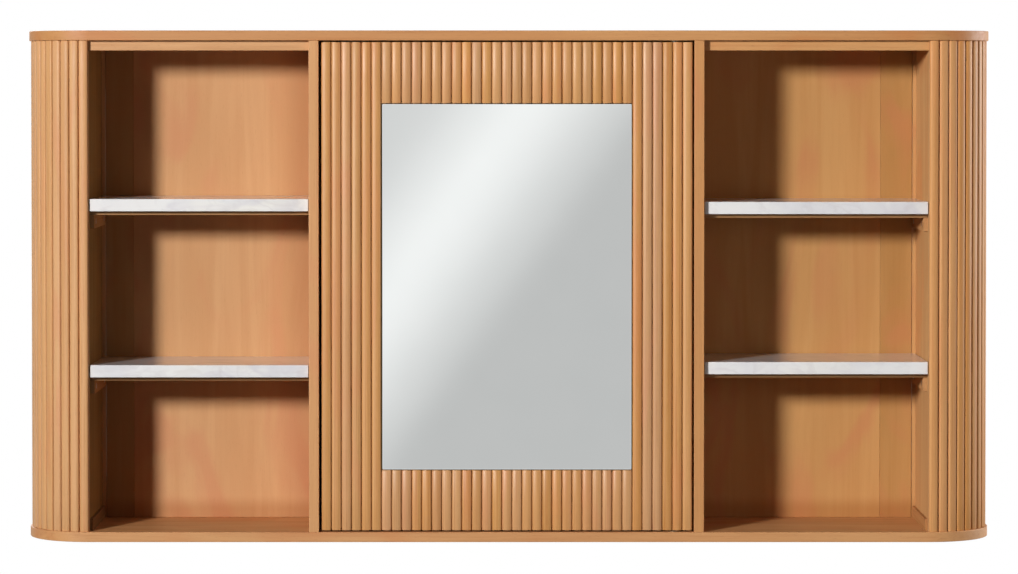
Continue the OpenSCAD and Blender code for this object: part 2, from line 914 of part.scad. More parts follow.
module latch_housing() {
    color(plastic_grey) difference() {
        union() {
            translate([latch_x - latch_w / 2, latch_y0, ceiling_z - latch_h])
                cube([latch_w, latch_l, latch_h]);
            translate([latch_x - latch_w / 2 - ear_w, latch_y0 + (latch_l - ear_l) / 2, ceiling_z - ear_t])
                cube([latch_w + 2 * ear_w, ear_l, ear_t]);
        }
        translate([latch_x, latch_y0 - eps, latch_z]) rod_y(plunger_r + pin_clear, latch_bore_y1 - latch_y0 + eps);
        latch_screw_set(hole_clear);
    }
}

module latch_plunger() {
    color([0.85, 0.85, 0.86]) difference() {
        translate([latch_x, tip_y, latch_z]) rod_y(plunger_r, plunger_l);
        translate([latch_x, tip_y - eps, latch_z]) rod_y(magnet_r + hole_clear, magnet_l + eps);
    }
}

module latch_magnet() {
    color(steel) translate([latch_x, tip_y, latch_z]) rod_y(magnet_r, magnet_l);
}

// Plain sleeve in place of the coil spring hidden in the housing
module latch_spring() {
    color(steel) translate([latch_x, plunger_y1, latch_z]) difference() {
        rod_y(magnet_r, spring_l);
        translate([0, -eps, 0]) rod_y(magnet_r - spring_wall, spring_l + 2 * eps);
    }
}

top_board();
bottom_board();
left_divider();
right_divider();
left_bay_wall();
right_bay_wall();
left_end_shell();
right_end_shell();
left_end_reeds();
right_end_reeds();
left_rear_post();
right_rear_post();
left_top_rail();
right_top_rail();
left_foot_block();
right_foot_block();
left_corner_strip();
left_back_stile();
left_back_panel();
centre_back_panel();
right_back_panel();
right_back_stile();
right_corner_strip();
upper_hanging_rail();
lower_hanging_rail();
case_dowels();
left_shelf_boards();
right_shelf_boards();
left_upper_marble();
left_lower_marble();
right_upper_marble();
right_lower_marble();
left_cleats();
right_cleats();
cleat_screws();
inner_upper_shelf();
inner_lower_shelf();
shelf_pins();
door_panel();
door_left_reeds();
door_right_reeds();
door_top_reeds();
door_bottom_reeds();
mirror_glass();
mirror_tape();
pivot_plates();
pivot_pins();
pivot_plate_screws();
pivot_bushes();
pivot_washer();
strike_plate();
strike_screws();
latch_housing();
latch_screws();
latch_plunger();
latch_magnet();
latch_spring();
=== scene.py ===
import math
import random

import bpy
from mathutils import Matrix, Vector, noise


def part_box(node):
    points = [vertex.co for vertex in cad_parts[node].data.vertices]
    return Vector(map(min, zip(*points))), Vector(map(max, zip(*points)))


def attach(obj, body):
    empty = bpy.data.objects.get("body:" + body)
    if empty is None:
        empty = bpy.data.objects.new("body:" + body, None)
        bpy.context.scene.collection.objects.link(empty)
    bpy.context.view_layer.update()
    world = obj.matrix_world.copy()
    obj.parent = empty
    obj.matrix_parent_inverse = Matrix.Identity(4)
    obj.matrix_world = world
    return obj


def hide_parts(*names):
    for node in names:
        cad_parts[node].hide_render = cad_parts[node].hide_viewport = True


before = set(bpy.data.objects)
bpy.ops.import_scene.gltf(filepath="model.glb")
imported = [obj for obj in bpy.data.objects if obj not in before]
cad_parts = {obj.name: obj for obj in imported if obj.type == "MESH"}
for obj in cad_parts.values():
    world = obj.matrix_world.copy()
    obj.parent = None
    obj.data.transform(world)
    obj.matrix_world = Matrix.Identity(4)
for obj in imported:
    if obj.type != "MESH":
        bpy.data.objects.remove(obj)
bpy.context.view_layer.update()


# Top and bottom boards
# Solid boards with large rounded front corners. The arrises are eased by hand and the whole
# board is oiled. Dowels hold them to the uprights, so nothing shows on their faces.

BOARD_RADIUS = 0.083
BOARD_ARRIS = 0.0008
SHIFT_PER_BOARD = (3.17, 1.73, 5.31)
HAIR = 0.00001  # what is smaller counts as nothing
SHARP_ANGLE = math.radians(40)
SMOOTH_ANGLE = math.radians(35)


def tint(red, green, blue):
    """A colour written in the usual 0 to 255 steps, as the shaders want it."""
    steps = []
    for step in (red, green, blue):
        value = step / 255
        steps.append(value / 12.92 if value <= 0.04045 else ((value + 0.055) / 1.055) ** 2.4)
    return (*steps, 1.0)


def block(name, low, high):
    """A plain block between two corners, all of it selected, ready to be shaped."""
    bpy.ops.object.select_all(action="DESELECT")
    middle = (Vector(low) + Vector(high)) / 2
    bpy.ops.mesh.primitive_cube_add(size=1, location=middle)
    piece = bpy.context.object
    piece.name = name
    piece.data.name = name
    piece.scale = Vector(high) - Vector(low)
    bpy.ops.object.transform_apply(location=True, rotation=True, scale=True)
    return piece


def pick(piece, kind, wanted):
    """Selects the edges or faces of a piece that pass a test, and leaves it in edit mode."""
    bpy.ops.object.select_all(action="DESELECT")
    piece.select_set(True)
    bpy.context.view_layer.objects.active = piece
    bpy.ops.object.mode_set(mode="EDIT")
    bpy.ops.mesh.select_mode(type=kind)
    bpy.ops.mesh.select_all(action="DESELECT")
    bpy.ops.object.mode_set(mode="OBJECT")
    parts = piece.data.edges if kind == "EDGE" else piece.data.polygons
    for part in parts:
        part.select = wanted(part)
    bpy.ops.object.mode_set(mode="EDIT")


def ease_arrises(piece, width, steps=2):
    """Rounds every sharp edge of a piece and shades it smooth between them."""
    pick(piece, "EDGE", lambda edge: False)
    bpy.ops.mesh.edges_select_sharp(sharpness=SHARP_ANGLE)
    bpy.ops.mesh.bevel(offset=width, segments=steps, affect="EDGES")
    bpy.ops.object.mode_set(mode="OBJECT")
    bpy.ops.object.shade_smooth_by_angle(angle=SMOOTH_ANGLE)
    even = piece.modifiers.new("even", "WEIGHTED_NORMAL")
    even.keep_sharp = True
    bpy.ops.object.modifier_apply(modifier="even")


def new_group(name, inputs, outputs):
    """An empty shader node group with named sockets. Returns the group and its two ends."""
    group = bpy.data.node_groups.new(name, "ShaderNodeTree")
    for label, kind, value in inputs:
        socket = group.interface.new_socket(label, in_out="INPUT", socket_type=kind)
        if value is not None:
            socket.default_value = value
    for label, kind in outputs:
        group.interface.new_socket(label, in_out="OUTPUT", socket_type=kind)
    return group, group.nodes.new("NodeGroupInput"), group.nodes.new("NodeGroupOutput")


def connect(tree, node, inputs):
    """Gives each input of a node a fixed value, or links it to what comes out of another."""
    for key, source in inputs.items():
        if isinstance(source, bpy.types.NodeSocket):
            tree.links.new(source, node.inputs[key])
        else:
            node.inputs[key].default_value = source


def add_node(tree, kind, settings=None, inputs=None):
    """A new node with its settings and with what goes into it."""
    node = tree.nodes.new("ShaderNode" + kind)
    for key, value in (settings or {}).items():
        setattr(node, key, value)
    connect(tree, node, inputs or {})
    return node


def calculate(tree, operation, first, second):
    """Works out one sum on two values, each a number or the output of a node."""
    return add_node(tree, "Math", {"operation": operation}, {0: first, 1: second}).outputs[0]


def stretched_noise(tree, place, scale, detail, rough=0.5, twist=0.0):
    """Noise drawn out along the grain. scale is how many features fit in a metre each way."""
    mapping = add_node(tree, "Mapping", {}, {"Vector": place, "Scale": scale})
    inputs = {"Vector": mapping.outputs[0], "Scale": 1.0, "Detail": detail, "Roughness": rough,
              "Distortion": twist}
    return add_node(tree, "TexNoise", {}, inputs).outputs[0]


def remap(tree, value, low, high, to_low=0.0, to_high=1.0):
    """Spreads a value between two limits over a new range, with soft ends."""
    inputs = {"Value": value, "From Min": low, "From Max": high, "To Min": to_low,
              "To Max": to_high}
    return add_node(tree, "MapRange", {"interpolation_type": "SMOOTHSTEP"}, inputs).outputs[0]


def blend_colours(tree, share, first, second, mode="MIX"):
    """Mixes two colours by a share. Each is fixed or the output of a node."""
    settings = {"data_type": "RGBA", "blend_type": mode}
    return add_node(tree, "Mix", settings, {0: share, 6: first, 7: second}).outputs[2]


def build_grain_group():
    """Straight-grained wood with the grain along Z: bands, fibres, pores and warm patches."""
    group, ends_in, ends_out = new_group(
        "straight grain",
        [
            ("Place", "NodeSocketVector", None),
            ("Board", "NodeSocketFloat", 0.0),
            ("Pale", "NodeSocketColor", tint(214, 165, 116)),
            ("Mid", "NodeSocketColor", tint(203, 152, 104)),
            ("Deep", "NodeSocketColor", tint(176, 120, 74)),
            ("Warm", "NodeSocketColor", tint(205, 138, 88)),
            ("Patches", "NodeSocketFloat", 0.4),
            ("Figure", "NodeSocketFloat", 0.5),
            ("Marks", "NodeSocketFloat", 1.0),
        ],
        [
            ("Color", "NodeSocketColor"),
            ("Height", "NodeSocketFloat"),
            ("Roughness", "NodeSocketFloat"),
        ],
    )
    shift = add_node(group, "VectorMath", {"operation": "SCALE"},
                     {0: SHIFT_PER_BOARD, "Scale": ends_in.outputs["Board"]})
    moved = add_node(group, "VectorMath", {"operation": "ADD"},
                     {0: ends_in.outputs["Place"], 1: shift.outputs[0]})
    place = moved.outputs[0]
    bands = stretched_noise(group, place, (30, 30, 2.0), 3.0, 0.55, 0.8)
    lines = stretched_noise(group, place, (230, 230, 5.0), 4.0, 0.6, 0.5)
    fibres = stretched_noise(group, place, (1300, 1300, 30), 2.0)
    pores = stretched_noise(group, place, (2100, 2100, 120), 1.0)
    patches = stretched_noise(group, place, (11, 11, 5.0), 2.0, 0.5, 1.2)
    pore_mask = remap(group, pores, 0.66, 0.76, 0.0, 0.35)
    layers = (
        (remap(group, lines, 0.48, 0.78), "Figure", ends_in.outputs["Deep"]),
        (remap(group, patches, 0.5, 0.7), "Patches", ends_in.outputs["Warm"]),
        (remap(group, fibres, 0.45, 0.8, 0.0, 0.22), "Marks", ends_in.outputs["Deep"]),
        (pore_mask, "Marks", tint(118, 72, 38)),
    )
    colour = blend_colours(group, remap(group, bands, 0.35, 0.65), ends_in.outputs["Pale"],
                           ends_in.outputs["Mid"])
    for mask, strength, tone in layers:
        share = calculate(group, "MULTIPLY", mask, ends_in.outputs[strength])
        colour = blend_colours(group, share, colour, tone)
    connect(group, ends_out, {
        "Color": colour,
        "Height": calculate(group, "SUBTRACT", fibres, pore_mask),
        "Roughness": remap(group, lines, 0.3, 0.7, 0.46, 0.58),
    })
    return group


grain_group = build_grain_group()


def place_along(tree, along):
    """The piece's own coordinates, turned so that the grain's direction is Z."""
    turns = {"X": (0, math.radians(90), 0), "Y": (math.radians(90), 0, 0), "Z": (0, 0, 0)}
    coords = add_node(tree, "TexCoord")
    turned = add_node(tree, "Mapping", {}, {"Vector": coords.outputs["Object"],
                                            "Rotation": turns[along]})
    return turned.outputs[0]


def new_material(name):
    """A material with only a Principled shader in it. Returns the material, tree and shader."""
    material = bpy.data.materials.new(name)
    material.use_nodes = True
    tree = material.node_tree
    return material, tree, tree.nodes["Principled BSDF"]


def oiled_wood(name, along, board, tones, patches=0.4, figure=0.5, marks=1.0, shine=0.35,
               bump=0.00012):
    """Oiled wood with the grain along one axis. Each board has a number that moves its figure."""
    material, tree, shader = new_material(name)
    grain = add_node(tree, "Group", {"node_tree": grain_group}, {
        "Place": place_along(tree, along),
        "Board": board,
        "Patches": patches,
        "Figure": figure,
        "Marks": marks,
    })
    for label, tone in zip(("Pale", "Mid", "Deep", "Warm"), tones):
        connect(tree, grain, {label: tint(*tone)})
    relief = add_node(tree, "Bump", {}, {"Height": grain.outputs["Height"], "Strength": 0.35,
                                         "Distance": bump})
    connect(tree, shader, {
        "Base Color": grain.outputs["Color"],
        "Roughness": grain.outputs["Roughness"],
        "Normal": relief.outputs[0],
        "Specular IOR Level": shine,
    })
    return material


def finish_piece(piece, body, slot, material, *nodes):
    """Gives a modelled piece its finish, and lets it stand for the CAD nodes that it is."""
    piece.data.materials.clear()
    piece.data.materials.append(material)
    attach(piece, body)
    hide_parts(*nodes)


def round_ended_board(name, node):
    """A long board with its two front corners turned to a large radius."""
    low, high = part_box(node)
    board = block(name, low, high)

    def is_front_corner(edge):
        ends = [board.data.vertices[i].co for i in edge.vertices]
        upright = abs(ends[0].z - ends[1].z) > HAIR
        return upright and ends[0].y < low.y + HAIR

    pick(board, "EDGE", is_front_corner)
    bpy.ops.mesh.bevel(offset=BOARD_RADIUS, segments=32, affect="EDGES")
    bpy.ops.object.mode_set(mode="OBJECT")
    ease_arrises(board, BOARD_ARRIS, 3)
    return board


board_tones = {
    "top_board": (1.3, (196, 142, 88), (187, 130, 77), (161, 102, 52), (190, 118, 63)),
    "bottom_board": (4.1, (203, 149, 97), (194, 138, 88), (166, 106, 58), (195, 126, 76)),
}
for node, (number, *tones) in board_tones.items():
    board = round_ended_board(node + "_oiled", node)
    wood = oiled_wood(node.replace("_", " ") + " wood", "X", number, tones, patches=0.6,
                      figure=0.45)
    finish_piece(board, "case", "wood", wood, node)


# Dividers and bay walls
# Upright boards either side of the door and at the outer side of each bay, dowelled between the
# top and bottom boards. The left bay wall's darker tones are painted shade, as it lies in shadow.

divider_tones = {
    "left": (7.2, (208, 154, 100), (200, 145, 93), (178, 116, 69), (208, 136, 93)),
    "right": (9.6, (197, 140, 84), (189, 132, 79), (169, 106, 58), (196, 124, 77)),
}
for side, (number, *tones) in divider_tones.items():
    low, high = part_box(side + "_divider")
    divider = block(side + "_divider_oiled", low, high)
    ease_arrises(divider, BOARD_ARRIS)
    wood = oiled_wood(side + " divider wood", "Z", number, tones, patches=0.6, figure=0.4)
    finish_piece(divider, "case", "wood", wood, side + "_divider")


def dress_node(node, material, arris=0.0):
    """A CAD node that is right as it is gets its finish, and soft arrises if it is a plain board."""
    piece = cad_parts[node]
    piece.data.materials.clear()
    piece.data.materials.append(material)
    if arris > 0:
        weld = piece.modifiers.new("merge", "WELD")
        weld.merge_threshold = HAIR
        ease = piece.modifiers.new("ease", "BEVEL")
        ease.width = arris
        ease.segments = 2
        ease.limit_method = "ANGLE"
        ease.angle_limit = SHARP_ANGLE
        ease.harden_normals = True


# The left wall's darker tones are painted shade.
wall_tones = {
    "left": (12.4, (147, 114, 69), (140, 106, 62), (118, 83, 44), (142, 100, 57)),
    "right": (14.8, (197, 151, 101), (190, 141, 92), (164, 112, 67), (196, 131, 80)),
}
for side, (number, *tones) in wall_tones.items():
    wood = oiled_wood(side + " bay wall wood", "Z", number, tones, patches=0.5, figure=0.2,
                      marks=0.5, shine=0.03)
    dress_node(side + "_bay_wall", wood)


# Rounded ends
# A thin curved board makes each end, with a post at its rear edge to fix it to. They stay
# plain and unoiled, because the reeds cover them.

SAWN_BUMP = 0.0003

sawn_tones = ((196, 152, 108), (186, 140, 96), (156, 108, 68), (180, 124, 80))
sawn_wood = oiled_wood("sawn wood", "Z", 21.0, sawn_tones, patches=0.3, figure=0.6,
                       bump=SAWN_BUMP)
for node in ("left_end_shell", "right_end_shell", "left_rear_post", "right_rear_post"):
    dress_node(node, sawn_wood)


# Reeds of the rounded ends
# Rods with a low crown and round shoulders, glued side by side: ten round each quarter circle
# and seven along each side. No two are quite alike, and their ends are eased before gluing.

END_CENTRE_X = 0.5265
END_CENTRE_Y = -0.002
CREST_RADIUS = 0.081
REED_GAP = 0.0003
ARC_REEDS = 10
HALF_STEP = math.radians(45 / ARC_REEDS)
SHELL_RADIUS = (CREST_RADIUS + REED_GAP / 2) / (1 + math.tan(HALF_STEP))
ARC_REED_RADIUS = SHELL_RADIUS * math.tan(HALF_STEP) - REED_GAP / 2
SIDE_REEDS = 7
SIDE_DEPTH = 0.087
CROWN_RADIUS = 0.013
SHOULDER_RADIUS = 0.0026
REED_ARRIS = 0.0006
REED_RUN = 0.04
MOST_SLIMMED = 0.00016
SLIM_WAVES = 9
MOST_FLATTENED = 0.018
FLAT_WAVES = 6
REED_GRAIN_SCALE = (3.2, 3.2, 1.0)
REED_ROUGHNESS = 0.8


def reed_height(across, half_width):
    """How far a reed's surface stands over its flat, at a distance from its middle line."""
    shoulder = half_width - SHOULDER_RADIUS
    spread = CROWN_RADIUS - SHOULDER_RADIUS
    across = abs(across)
    if across * spread < shoulder * CROWN_RADIUS:
        return math.sqrt(CROWN_RADIUS ** 2 - across ** 2) - CROWN_RADIUS + half_width
    over = min(SHOULDER_RADIUS, across - shoulder)
    rise = math.sqrt(spread ** 2 - shoulder ** 2)
    return half_width - CROWN_RADIUS + rise + math.sqrt(SHOULDER_RADIUS ** 2 - over ** 2)


def reed_rod(name, radius, length):
    """One reed on z = 0 with its flat on y = 0, its ends eased, cut into short runs."""
    bpy.ops.object.select_all(action="DESELECT")
    bpy.ops.mesh.primitive_cylinder_add(vertices=36, radius=radius, depth=length,
                                        location=(0, 0, length / 2))
    rod = bpy.context.object
    rod.name = name
    bpy.ops.object.transform_apply(location=True, rotation=True, scale=True)
    bpy.ops.object.mode_set(mode="EDIT")
    bpy.ops.mesh.select_all(action="SELECT")
    bpy.ops.mesh.bisect(plane_co=(0, 0, 0), plane_no=(0, 1, 0), use_fill=True, clear_outer=True)
    bpy.ops.object.mode_set(mode="OBJECT")
    for vertex in rod.data.vertices:
        if vertex.co.y < -HAIR:
            vertex.co.y = -reed_height(vertex.co.x, radius)

    def is_end_rim(edge):
        ends = [rod.data.vertices[i].co for i in edge.vertices]
        level = abs(ends[0].z - ends[1].z) < HAIR
        return level and min(ends[0].y, ends[1].y) < -HAIR

    pick(rod, "EDGE", is_end_rim)
    bpy.ops.mesh.bevel(offset=REED_ARRIS, segments=2, affect="EDGES")
    runs = max(2, round(length / REED_RUN))
    for run in range(1, runs):
        bpy.ops.mesh.select_all(action="SELECT")
        bpy.ops.mesh.bisect(plane_co=(0, 0, length * run / runs), plane_no=(0, 0, 1))
    bpy.ops.object.mode_set(mode="OBJECT")
    bpy.ops.object.shade_smooth_by_angle(angle=SMOOTH_ANGLE)
    return rod


def glue_reed(rod, radius, where, turn, number):
    """A copy of a rod in its place, a little slimmer here and there as a moulded rod is."""
    reed = rod.copy()
    reed.data = rod.data.copy()
    bpy.context.collection.objects.link(reed)
    for vertex in reed.data.vertices:
        side = -1 if vertex.co.x < 0 else 1
        share = (vertex.co.x / radius) ** 2
        wave = noise.noise(Vector((vertex.co.z * SLIM_WAVES, number * 3.7, side * 5.0)))
        slim = MOST_SLIMMED * min(1.0, max(0.0, wave * 1.6 + 0.35))
        vertex.co.x -= side * share * slim
        wave = noise.noise(Vector((vertex.co.z * FLAT_WAVES, number * 2.9, 1.5)))
        vertex.co.y *= 1 - MOST_FLATTENED * (0.5 + wave)
    reed.data.transform(Matrix.Translation(where) @ Matrix.Rotation(turn, 4, "Z"))
    tone = reed.data.attributes.new("reed", "FLOAT", "POINT")
    tone.data.foreach_set("value", [number] * len(reed.data.vertices))
    return reed


def join_reeds(name, reeds, rod):
    """Joins glued reeds into one piece and throws the pattern rod away."""
    bpy.ops.object.select_all(action="DESELECT")
    for reed in reeds:
        reed.select_set(True)
    bpy.context.view_layer.objects.active = reeds[0]
    bpy.ops.object.join()
    piece = bpy.context.object
    piece.name = name
    piece.data.name = name
    bpy.data.objects.remove(rod)
    return piece


def build_tone_group():
    """Turns a reed's own number into a lighter, darker, redder or yellower shade of a colour."""
    group, ends_in, ends_out = new_group(
        "reed tone",
        [
            ("Color", "NodeSocketColor", tint(205, 155, 108)),
            ("Reed", "NodeSocketFloat", 0.0),
            ("Spread", "NodeSocketFloat", 1.0),
        ],
        [("Color", "NodeSocketColor")],
    )
    number = calculate(group, "MULTIPLY", ends_in.outputs["Reed"], 61.7)
    draw = add_node(group, "TexWhiteNoise", {"noise_dimensions": "1D"}, {"W": number})
    parts = add_node(group, "SeparateColor", {}, {0: draw.outputs["Color"]})
    limits = {"Hue": (0.497, 0.503), "Saturation": (0.93, 1.08), "Value": (0.93, 1.06)}
    shades = {"Color": ends_in.outputs["Color"]}
    for part, (label, (low, high)) in zip(parts.outputs, limits.items()):
        middle = (low + high) / 2
        change = add_node(group, "MapRange", {}, {"Value": part, "To Min": low - middle,
                                                  "To Max": high - middle})
        scaled = calculate(group, "MULTIPLY", change.outputs[0], ends_in.outputs["Spread"])
        shades[label] = calculate(group, "ADD", scaled, middle)
    tone = add_node(group, "HueSaturation", {}, shades)
    connect(group, ends_out, {"Color": tone.outputs[0]})
    return group


tone_group = build_tone_group()


def reed_wood(name, tones, spread, shine):
    """Oiled rods with the grain along Z, each with a shade and figure of its own."""
    material = oiled_wood(name, "Z", 0.0, tones, patches=0.45, figure=1.0, marks=1.2, shine=shine)
    tree = material.node_tree
    grain = tree.nodes["Group"]
    connect(tree, tree.nodes["Mapping"], {"Scale": REED_GRAIN_SCALE})
    number = add_node(tree, "Attribute", {"attribute_name": "reed"}).outputs["Fac"]
    connect(tree, grain, {"Board": number})
    tone = add_node(tree, "Group", {"node_tree": tone_group},
                    {"Color": grain.outputs["Color"], "Reed": number, "Spread": spread})
    smoother = calculate(tree, "MULTIPLY", grain.outputs["Roughness"], REED_ROUGHNESS)
    connect(tree, tree.nodes["Principled BSDF"],
            {"Base Color": tone.outputs["Color"], "Roughness": smoother})
    return material


reed_places = []
for i in range(ARC_REEDS):
    angle = math.radians((i + 0.5) * 90 / ARC_REEDS)
    reed_places.append((END_CENTRE_X + SHELL_RADIUS * math.sin(angle),
                        END_CENTRE_Y - SHELL_RADIUS * math.cos(angle), angle))
for i in range(SIDE_REEDS):
    reed_places.append((END_CENTRE_X + SHELL_RADIUS,
                        END_CENTRE_Y + (i + 0.5) * (SIDE_DEPTH / SIDE_REEDS), math.radians(90)))

end_reed_tones = {
    "left": ((213, 163, 113), (205, 154, 104), (184, 128, 80), (210, 145, 102)),
    "right": ((214, 157, 100), (206, 147, 91), (185, 122, 69), (207, 138, 85)),
}
end_reed_shine = {"left": 0.22, "right": 0.15}
chance = random.Random(11)
wall_low, wall_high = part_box("left_bay_wall")
for side, sign in (("left", -1), ("right", 1)):
    rod = reed_rod("arc_rod", ARC_REED_RADIUS, wall_high.z - wall_low.z)
    reeds = []
    for x, y, turn in reed_places:
        where = Vector((sign * x, y, wall_low.z))
        reeds.append(glue_reed(rod, ARC_REED_RADIUS, where, sign * turn, chance.uniform(1, 40)))
    piece = join_reeds(side + "_end_reeds_oiled", reeds, rod)
    wood = reed_wood(side + " end reed wood", end_reed_tones[side], spread=0.5,
                     shine=end_reed_shine[side])
    finish_piece(piece, "case", "reeds", wood, side + "_end_reeds")


# Back
# Thin panels, narrow boards and corner strips close the back, and two rails behind them take the
# wall screws. Eased arrises leave the fine joint lines. Painted shade darkens the panels' fronts at
# their foot and the left panel by the divider, and painted light brightens some in the lowest bay.

PANEL_FRONT = (0.072, 0.074)
LOW_BAY_TOP = (0.17, 0.22)
FOOT_TOP = (0.022, 0.043)
INNER_EDGE = (-0.302, -0.260)
FOOT_SHADE = (0.80, 0.71, 0.64, 1.0)
EDGE_SHADE = (0.78, 0.70, 0.67, 1.0)


def build_painted_shade_group():
    """Painted light on a board's lowest stretch, painted shade on its foot and, by Edge, its inner
    edge.
    """
    group, ends_in, ends_out = new_group(
        "painted shade and light on back boards",
        [
            ("Color", "NodeSocketColor", tint(205, 155, 108)),
            ("Place", "NodeSocketVector", None),
            ("Lift", "NodeSocketFloat", 0.0),
            ("Edge", "NodeSocketFloat", 0.0),
        ],
        [("Color", "NodeSocketColor")],
    )
    where = add_node(group, "SeparateXYZ", {}, {0: ends_in.outputs["Place"]})
    front = remap(group, where.outputs["Y"], *PANEL_FRONT, 1.0, 0.0)
    low_bay = remap(group, where.outputs["Z"], *LOW_BAY_TOP, 1.0, 0.0)
    lift = calculate(group, "MULTIPLY", low_bay, ends_in.outputs["Lift"])
    lighter = add_node(group, "HueSaturation", {}, {"Color": ends_in.outputs["Color"],
                                                    "Value": calculate(group, "ADD", lift, 1.0)})
    foot = remap(group, where.outputs["Z"], *FOOT_TOP, 1.0, 0.0)
    foot = calculate(group, "MULTIPLY", foot, front)
    darker = blend_colours(group, foot, lighter.outputs[0], FOOT_SHADE, "MULTIPLY")
    edge = remap(group, where.outputs["X"], *INNER_EDGE)
    edge = calculate(group, "MULTIPLY", edge, ends_in.outputs["Edge"])
    edge = calculate(group, "MULTIPLY", edge, front)
    darker = blend_colours(group, edge, darker, EDGE_SHADE, "MULTIPLY")
    connect(group, ends_out, {"Color": darker})
    return group


painted_shade_group = build_painted_shade_group()
# Painted light: how much lighter these boards are in the lowest bay, where the lamp reaches less.
painted_light_low_bay = {"left_back_panel": 0.045, "right_back_panel": 0.1, "right_back_stile": 0.08}
back_tones = {
    "left_corner_strip": (29.4, (207, 157, 108), (198, 148, 99), (178, 126, 80), (198, 138, 96)),
    # The left stile's darker tones are painted shade: it is seen only in shadow.
    "left_back_stile": (31.0, (182, 139, 90), (176, 130, 81), (159, 111, 65), (178, 123, 80)),
    "left_back_panel": (33.5, (204, 156, 111), (197, 147, 102), (181, 129, 86), (198, 138, 99)),
    "centre_back_panel": (36.1, (210, 160, 110), (202, 150, 102), (180, 126, 80), (204, 140, 96)),
    "right_back_panel": (38.7, (194, 146, 92), (187, 137, 84), (168, 116, 67), (189, 127, 84)),
    "right_back_stile": (41.9, (181, 135, 82), (174, 127, 74), (154, 104, 56), (184, 124, 80)),
    "right_corner_strip": (43.2, (200, 152, 100), (191, 143, 91), (171, 121, 73), (191, 133, 88)),
}
for node, (number, *tones) in back_tones.items():
    wood = oiled_wood(node.replace("_", " ") + " wood", "Z", number, tones, patches=0.7,
                      figure=0.12, marks=0.35, shine=0.08)
    tree = wood.node_tree
    # Painted shade at the foot, and by the divider on the left panel; painted light low down.
    shade = add_node(tree, "Group", {"node_tree": painted_shade_group}, {
        "Color": tree.nodes["Group"].outputs["Color"],
        "Place": tree.nodes["Texture Coordinate"].outputs["Object"],
        "Lift": painted_light_low_bay.get(node, 0.0),
        "Edge": 1.0 if node == "left_back_panel" else 0.0,
    })
    connect(tree, tree.nodes["Principled BSDF"], {"Base Color": shade.outputs["Color"]})
    has_joint_line = node.startswith(("left_back", "right_back"))
    dress_node(node, wood, BOARD_ARRIS if has_joint_line else 0.0)

hanging_rail_tones = ((200, 158, 114), (190, 146, 102), (160, 112, 72), (184, 130, 86))
rail_wood = oiled_wood("hanging rail wood", "X", 44.0, hanging_rail_tones, patches=0.3,
                       figure=0.6, bump=SAWN_BUMP)
dress_node("upper_hanging_rail", rail_wood)
dress_node("lower_hanging_rail", rail_wood)


# Top rails and foot blocks of the bays
# A slim rail runs under the top board at the front of each bay, and a small block lies along
# the foot of each end wall. Both are glued.

THIN_ARRIS = 0.0005

top_rail_tones = {
    "left": (47.3, (207, 157, 107), (197, 147, 97), (173, 117, 70), (199, 137, 89)),
    "right": (48.6, (200, 147, 92), (190, 137, 82), (166, 107, 56), (192, 127, 74)),
}
# The left foot block's darker tones are painted shade: it lies in the shadow of the end.
block_tones = {
    "left": (51.2, (136, 98, 62), (129, 91, 55), (112, 73, 42), (131, 86, 53)),
    "right": (49.9, (176, 126, 80), (167, 117, 71), (145, 94, 54), (170, 111, 68)),
}
for side, (number, *tones) in top_rail_tones.items():
    wood = oiled_wood(side + " top rail wood", "X", number, tones, patches=0.5, figure=0.4)
    dress_node(side + "_top_rail", wood, THIN_ARRIS)
for side, (number, *tones) in block_tones.items():
    wood = oiled_wood(side + " foot block wood", "Y", number, tones, patches=0.4, figure=0.4,
                      marks=0.6, shine=0.08)
    dress_node(side + "_foot_block", wood)


# Shelf boards, cleats and their screws
# Each marble slab lies on a thin board, and the board on two cleats screwed to the sides of the
# bay with countersunk steel screws.

# The shelf boards' darker tones are painted shade from the slabs above them.
shelf_board_tones = ((168, 126, 84), (159, 117, 76), (136, 93, 55), (158, 110, 70))
cleat_tones = ((190, 142, 94), (180, 132, 86), (156, 104, 62), (182, 124, 80))
shelf_board_wood = oiled_wood("shelf board wood", "X", 52.2, shelf_board_tones, patches=0.4,
                              figure=0.5, marks=0.6, shine=0.1)
cleat_wood = oiled_wood("cleat wood", "Y", 55.1, cleat_tones, patches=0.4, figure=0.4, marks=0.6,
                        shine=0.1)


def build_brushed_group():
    """Fine scratches and smudges on metal, as a roughness between Low and High."""
    group, ends_in, ends_out = new_group(
        "worked metal",
        [
            ("Place", "NodeSocketVector", None),
            ("Low", "NodeSocketFloat", 0.2),
            ("High", "NodeSocketFloat", 0.4),
        ],
        [("Roughness", "NodeSocketFloat"), ("Height", "NodeSocketFloat")],
    )
    scratches = stretched_noise(group, ends_in.outputs["Place"], (4000, 4000, 300), 2.0)
    smudges = stretched_noise(group, ends_in.outputs["Place"], (260, 260, 260), 3.0)
    rough = add_node(group, "MapRange", {}, {
        "Value": calculate(group, "MULTIPLY", scratches, smudges),
        "From Min": 0.12,
        "From Max": 0.4,
        "To Min": ends_in.outputs["Low"],
        "To Max": ends_in.outputs["High"],
    })
    connect(group, ends_out, {"Roughness": rough.outputs[0], "Height": scratches})
    return group


brushed_group = build_brushed_group()


